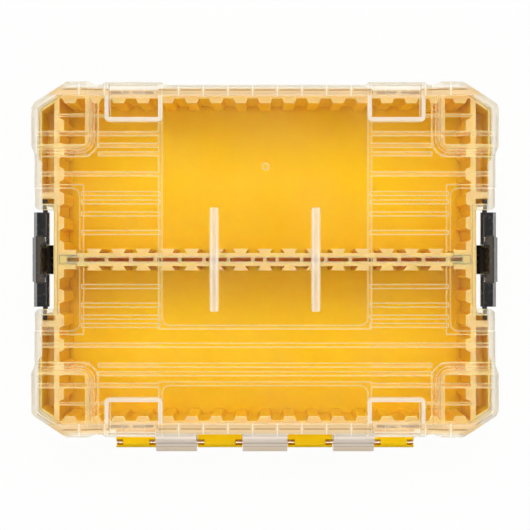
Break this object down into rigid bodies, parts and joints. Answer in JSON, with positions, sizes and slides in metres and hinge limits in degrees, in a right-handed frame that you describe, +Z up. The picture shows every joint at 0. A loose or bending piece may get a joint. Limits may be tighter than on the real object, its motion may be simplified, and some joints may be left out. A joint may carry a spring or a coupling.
{
  "type": "bit case",
  "caption": "shallow storage case for screwdriver bits: moulded tray with toothed walls, slide-in divider, clear hinged lid and swing latches on the short sides",
  "frame": {"origin": "under the middle of the box round the closed case, on the plane of its feet", "axes": "X along the case, +Y away from the hinge, +Z up"},
  "size_m": [0.2658, 0.2108, 0.06],
  "materials": {
    "tray_plastic": "yellow, satin",
    "lid_plastic": "clear, polished",
    "latch_plastic": "black, satin",
    "pin_steel": "plain"
  },
  "bodies": {
    "base": {"base_tray": "tray_plastic", "centre_divider": "tray_plastic", "hinge_pin": "pin_steel"},
    "lid": {"lid": "lid_plastic"},
    "left_latch": {"left_latch": "latch_plastic", "left_latch_pins": "pin_steel"},
    "right_latch": {"right_latch": "latch_plastic", "right_latch_pins": "pin_steel"}
  },
  "joints": [
    {"name": "lid_hinge", "type": "hinge", "parent": "base", "child": "lid", "pos_m": [0, -0.1006, 0.0402], "axis": [1, 0, 0], "range_deg": [0, 180]},
    {"name": "left_latch_pivot", "type": "hinge", "parent": "lid", "child": "left_latch", "pos_m": [-0.1257, 0.0049, 0.0495], "axis": [0, 1, 0], "range_deg": [-5, 95]},
    {"name": "right_latch_pivot", "type": "hinge", "parent": "lid", "child": "right_latch", "pos_m": [0.1257, 0.0049, 0.0495], "axis": [0, -1, 0], "range_deg": [-5, 95]}
  ]
}
